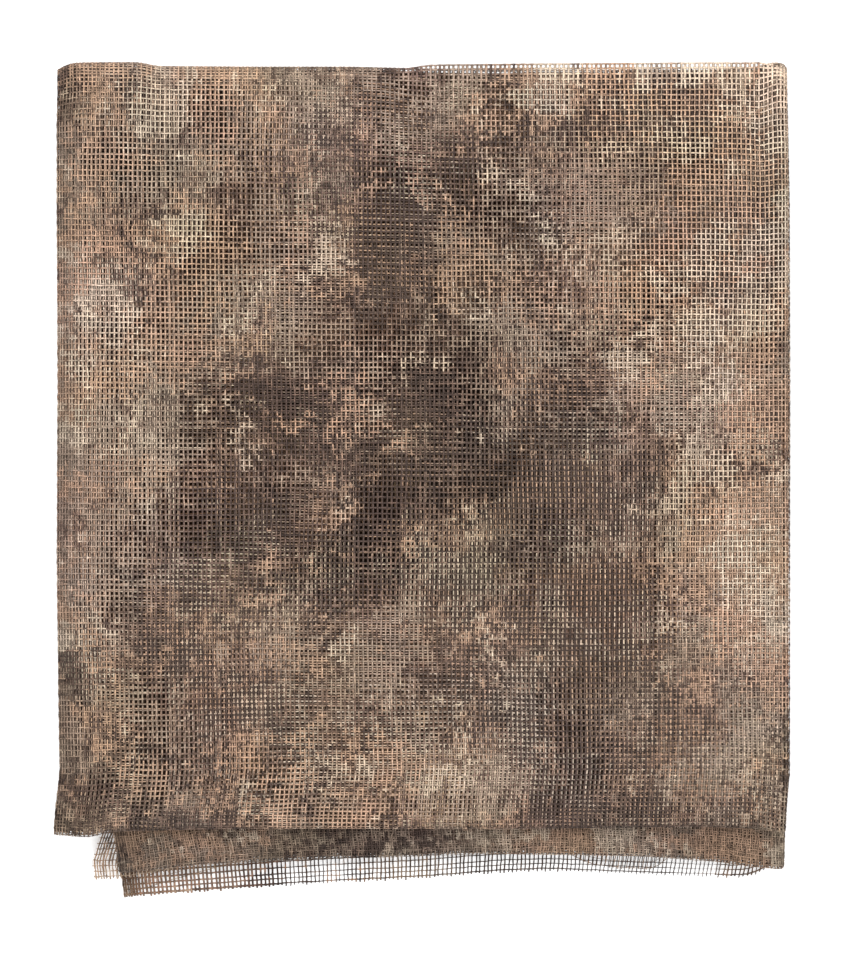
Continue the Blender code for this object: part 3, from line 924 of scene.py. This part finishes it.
# -------- the pieces
YARN = yarn_print("printed_yarn", 0.50, 1.90)
# The second ply's yarns are drawn a little darker than the top ply's: painted shade under the top ply.
SECOND_YARN = yarn_print("printed_yarn_second_shaded", 0.48, 1.80)
# The third ply's yarns are drawn darker and warmer than the top ply's: painted shade under the plies
# above.
DEEP_YARN = yarn_print("printed_yarn_deep_shaded", 0.24, 0.84, WARM_SHADE)
# The lower fold's yarns are drawn darker than the top ply's.
FOLD_YARN = yarn_print("printed_yarn_lower_fold", 0.32, 1.10)
END_YARN = yarn_print("printed_yarn_cut_end", 0.48, 1.50)
SINGLE_YARN = yarn_print("printed_yarn_single", 0.35, 1.12, SINGLE_TINT)
INNER = inner_print("printed_inner")
END_ZONE = 64 * MM    # how much of the cut ends is made as yarns
SIDE_ZONE = 9 * MM    # and how much on both sides of a fold across the width
LAP = 3.5 * MM        # the yarn pieces run this far under the folds
UNDERLAP = 2 * MM     # and the inner plies this far under the yarn pieces
LEFT_SHARE = 0.6      # the top ply's yarns go round this share of the left fold
BUNDLE_SHARE = 0.86   # past this share of the third panel the lower bundle shows
STRIP_LENGTH = 0.55   # the length on which the side strips are laid side by side
SHEET_STEP = 12 * MM  # the widest faces of the inner plies
ROUND_SEGMENTS = [k for k, name in enumerate(SEGMENT_NAMES) if "fold" in name or "corner" in name]
CLOSE_LIFT = 0.50 * MM   # the second ply lies this much nearer to the top one
CLOSE_START = 12 * MM    # past this distance from its fold
CORNER_LIFT = 0.45 * MM  # and this much nearer still where it turns over the far edge
CORNER_WIDTH = 6 * MM
# The warp yarns of the low ply, the low flap, the high flap, and all of the high pair.
LOW = (column(SPINE_FOLD), column(u_of("low left", LEFT_SHARE)))
FLAP = (LOW[1] - 1, COLUMNS)
HIGH_FLAP = (0, column(u_of("high left") - SIDE_ZONE) + 1)
HIGH = (0, LOW[0] + 1)


def steps(marks, widest):
    """Positions that hit every mark, at most widest apart."""
    out = [marks[0]]
    for a, b in zip(marks[:-1], marks[1:]):
        pieces = max(1, math.ceil((b - a) / widest))
        out += list(a + (b - a) * np.arange(1, pieces + 1) / pieces)
    return np.array(out)


def turn_marks(starts, round_ones, parts):
    marks = []
    for index, (a, b) in enumerate(zip(starts[:-1], starts[1:])):
        marks += list(np.linspace(a, b, (parts if index in round_ones else 1) + 1)[:-1])
    return marks + [starts[-1]]


def inner_sheet():
    """The plies inside the stack, as one sheet on the fold, open where the yarn pieces are."""
    side = SIDE_ZONE - UNDERLAP
    sides = [(ZONE_STARTS[k] - side, ZONE_STARTS[k + 1] + side) for k in ROUND_ZONES]
    cuts = turn_marks(ZONE_STARTS, ROUND_ZONES, parts=6) + [u for pair in sides for u in pair]
    us = steps(sorted(cuts), SHEET_STEP)
    vs = steps(turn_marks(SEGMENT_STARTS, ROUND_SEGMENTS, parts=8), SHEET_STEP)
    grid_u, grid_v = np.meshgrid(us, vs)
    point, _ = fold(grid_u, grid_v)
    index = np.arange(grid_u.size).reshape(grid_u.shape)
    quads = np.stack([index[:-1, :-1], index[:-1, 1:], index[1:, 1:], index[1:, :-1]], axis=-1)
    mid_u, mid_v = ((grid[:-1, :-1] + grid[1:, 1:]) / 2 for grid in (grid_u, grid_v))
    low = mid_u > u_of("low ply")
    before_second = mid_v < v_of("second")
    shown = low & (mid_u < u_of("low left")) & before_second
    shown |= (mid_u > u_of("low left")) & (mid_v > v_of("wall")) & before_second
    shown |= (mid_u < u_of("high left")) & (mid_v > v_of("top")) & before_second
    shown |= low & (mid_v > v_of("third", BUNDLE_SHARE)) & (mid_v < v_of("fourth"))
    shown |= mid_v < END_ZONE - UNDERLAP
    for start, stop in sides:
        shown |= (mid_u > start) & (mid_u < stop)
    keep = quads[~shown]
    used = np.unique(keep)
    renumber = np.full(grid_u.size, -1)
    renumber[used] = np.arange(len(used))
    coords = np.stack([grid_u, grid_v], axis=-1).reshape(-1, 2)
    areas = np.diff(grid_u, axis=1)[:-1] * np.diff(grid_v, axis=0)[:, :-1]
    points = point.reshape(-1, 3)[used]
    piece = quad_object("net_inner_plies", points, renumber[keep], coords[used], INNER)
    return piece, float(np.sum(areas[~shown]))


def declare(piece):
    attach(piece, "root")
    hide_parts("net")


def add_net(name, patches, flat_size, material=YARN):
    piece = net_object(name, patches, material)
    declare(piece)


def patch_size(columns, rows):
    """The size of a patch on the flat cloth, across and along."""
    return (columns[1] - columns[0]) * PITCH_U, (rows[1] - rows[0]) * PITCH_V


def close_lift(u, v):
    """The second ply rises from the fold's ply towards the top one, over CLOSE_START."""
    past_fold = u - u_of("low flap")
    past_corner = (v - FAR_EDGE) / CORNER_WIDTH
    x = SPINE_X - PLY_WIDTH + past_fold
    extra = CORNER_LIFT * np.exp(-past_corner ** 2) * (1 - lip_formed(x))
    return (CLOSE_LIFT + extra) * np.clip(past_fold / CLOSE_START, 0, 1)


def raised(distance):
    return lambda u, v: np.full_like(u, distance)


def beside(zone):
    """The warp yarns of a fold across the width and of the SIDE_ZONE on both sides of it."""
    index = ZONE_NAMES.index(zone)
    return column(ZONE_STARTS[index] - SIDE_ZONE), column(ZONE_STARTS[index + 1] + SIDE_ZONE)


def side_strips():
    """The folded side edges of the panels that have no yarn pieces of their own."""
    first, end, last = row(END_ZONE), row(v_of("second") + LAP), row(NET_LENGTH)
    bundle_a, bundle_b = row(v_of("third", BUNDLE_SHARE)), row(v_of("fourth") + LAP)
    high, spine, low = (beside(zone) for zone in ("high left", "spine", "low left"))
    flap = (column(u_of("low left", LEFT_SHARE)) - 1, low[1])
    high_side = (spine[0], column(SPINE_FOLD) + 1)
    areas = (
        (high, (first - 1, last)), (low, (end - 1, bundle_a + 1)), (low, (bundle_b - 1, last)),
        (flap, (first - 1, row(v_of("wall")) + 1)), (spine, (end - 1, bundle_a + 1)),
        (spine, (bundle_b - 1, last)), (high_side, (first - 1, end)), (high_side, (bundle_a, bundle_b)))
    strips = []
    cloth = 0.0
    for seed, (columns, rows) in enumerate(areas, 21):
        strips += mesh_patch(columns, rows, ridges=FLAT, seed=seed)
        width, length = patch_size(columns, rows)
        cloth += width * length
    return strips, (cloth / STRIP_LENGTH, STRIP_LENGTH)


def build_panels():
    """The top panel with the ply on the far side, and the two plies that are seen through it."""
    wall_foot, second_start = v_of("wall"), v_of("second") + LAP
    all_rows = (row(wall_foot, "outer"), row(second_start, "outer"))
    rows = (LIP_ROW - 2, all_rows[1])
    add_net("net_top_ply", mesh_patch(LOW, rows, seed=1, ply="outer"), patch_size(LOW, rows))
    rows = (all_rows[0], LIP_ROW - 1)
    add_net("net_far_side", mesh_patch(LOW, rows, seed=9, ply="outer"), patch_size(LOW, rows))
    rows = (row(wall_foot, "second"), row(second_start, "second"))
    second = mesh_patch(FLAP, rows, -1.0, FLAT, seed=2, lift=close_lift, ply="second")
    add_net("net_second_ply", second, patch_size(FLAP, all_rows), SECOND_YARN)
    rows = (row(v_of("corner above")), row(second_start))
    third = mesh_patch(HIGH_FLAP, rows, -1.0, FLAT, seed=3)
    add_net("net_third_ply", third, patch_size(HIGH_FLAP, rows), DEEP_YARN)


def build_ends():
    """The lowest ply, which ends in the single ply in front, and the other plies' cut ends."""
    rows = (0, row(v_of("wall"), "outer") + 1)
    under = mesh_patch(LOW, rows, ridges=(True, False), stubs=True, seed=4, ply="outer", thin=worn)
    add_net("net_underside", under, patch_size(LOW, rows), SINGLE_YARN)
    rows = (0, row(END_ZONE))
    ends = mesh_patch(HIGH, rows, ridges=FLAT, stubs=True, seed=5, crumple=4.0,
                      thin=thin_end(0.32, 0.50), stray=2.0, shift=(END_SHIFT, 0.0))
    add_net("net_cut_end", ends, patch_size(HIGH, rows), END_YARN)
    flap_end = mesh_patch(FLAP, rows, -1.0, FLAT, stubs=True, seed=6, thin=thin_end(0.46, 0.58))
    add_net("net_flap_end", flap_end, patch_size(FLAP, rows), SINGLE_YARN)


def build_bundle():
    """The fold below the top panel, all four plies of it, more rumpled than the rest."""
    start, stop = v_of("third", BUNDLE_SHARE), v_of("fourth") + LAP
    outer_rows = (row(start, "outer"), row(stop, "outer"))
    rows = (row(start), row(stop))
    high_ply = (column(u_of("high ply")), HIGH[1])
    rumpled = {"crumple": 4.0, "stray": 2.5}
    bundle = mesh_patch(LOW, outer_rows, seed=7, ply="outer", **rumpled)
    bundle += mesh_patch(LOW, outer_rows, ridges=FLAT, seed=8, crumple=3.2, ply="outer",
                         lift=raised(CLOSE_LIFT - PLY_PITCH), shift=(0.5, 0.5), stray=2.5)
    bundle += mesh_patch(HIGH_FLAP, rows, -1.0, FLAT, seed=10, lift=raised(CLOSE_LIFT),
                         shift=(0.25, 0.25), **rumpled)
    bundle += mesh_patch(high_ply, rows, ridges=FLAT, seed=12, shift=(0.75, 0.75), **rumpled)
    add_net("net_lower_bundle", bundle, (CLOTH_WIDTH, patch_size(LOW, outer_rows)[1]), FOLD_YARN)


build_panels()
build_ends()
build_bundle()
add_net("net_side_folds", *side_strips())
inner, inner_area = inner_sheet()
declare(inner)


# -------- stage, light and camera
def stage_floor():
    bpy.ops.mesh.primitive_plane_add(size=14.0, location=(0, 0, -0.0002))
    floor = bpy.context.active_object
    floor.name = "floor"
    material, tree, shader = new_material("floor_white")
    plug(shader, {
        "Base Color": (0.92, 0.92, 0.92, 1), "Roughness": 0.9,
        "Emission Color": (1, 1, 1, 1), "Emission Strength": 0.38})
    floor.data.materials.append(material)


def area_light(name, at, size, power):
    """A soft round lamp that points at the net."""
    data = bpy.data.lights.new(name, "AREA")
    data.shape = "DISK"
    data.size = size
    data.energy = power
    lamp = add_object(name, data)
    lamp.location = at
    lamp.rotation_euler = (-Vector(at)).to_track_quat("-Z", "Y").to_euler()


def set_light():
    world = bpy.data.worlds.new("studio")
    bpy.context.scene.world = world
    world.use_nodes = True
    plug(world.node_tree.nodes["Background"], {"Color": (1, 1, 1, 1), "Strength": 0.82})
    area_light("key", (-1.0, 1.2, 2.8), 1.8, 48)
    area_light("fill", (1.4, -0.9, 2.6), 2.0, 28)
    bpy.context.scene.view_settings.view_transform = "Standard"


PIXEL = 0.5 * MM               # of the photo, on the net
PHOTO_SIZE = (847, 960)
PHOTO_CENTRE = (422.0, 479.5)  # the pixel that shows the net's origin
LENS = 500.0
SENSOR = 36.0


def set_camera():
    data = bpy.data.cameras.new("camera")
    data.lens = LENS
    data.sensor_width = SENSOR
    data.clip_end = 100.0
    camera = add_object("camera", data)
    height = PHOTO_SIZE[1] * PIXEL
    middle = (CAD_LOW[2] + CAD_HIGH[2]) / 2
    camera.location = (
        (PHOTO_SIZE[0] / 2 - PHOTO_CENTRE[0]) * PIXEL,
        (PHOTO_CENTRE[1] - PHOTO_SIZE[1] / 2) * PIXEL,
        middle + height * LENS / SENSOR)
    bpy.context.scene.camera = camera


stage_floor()
set_light()
set_camera()
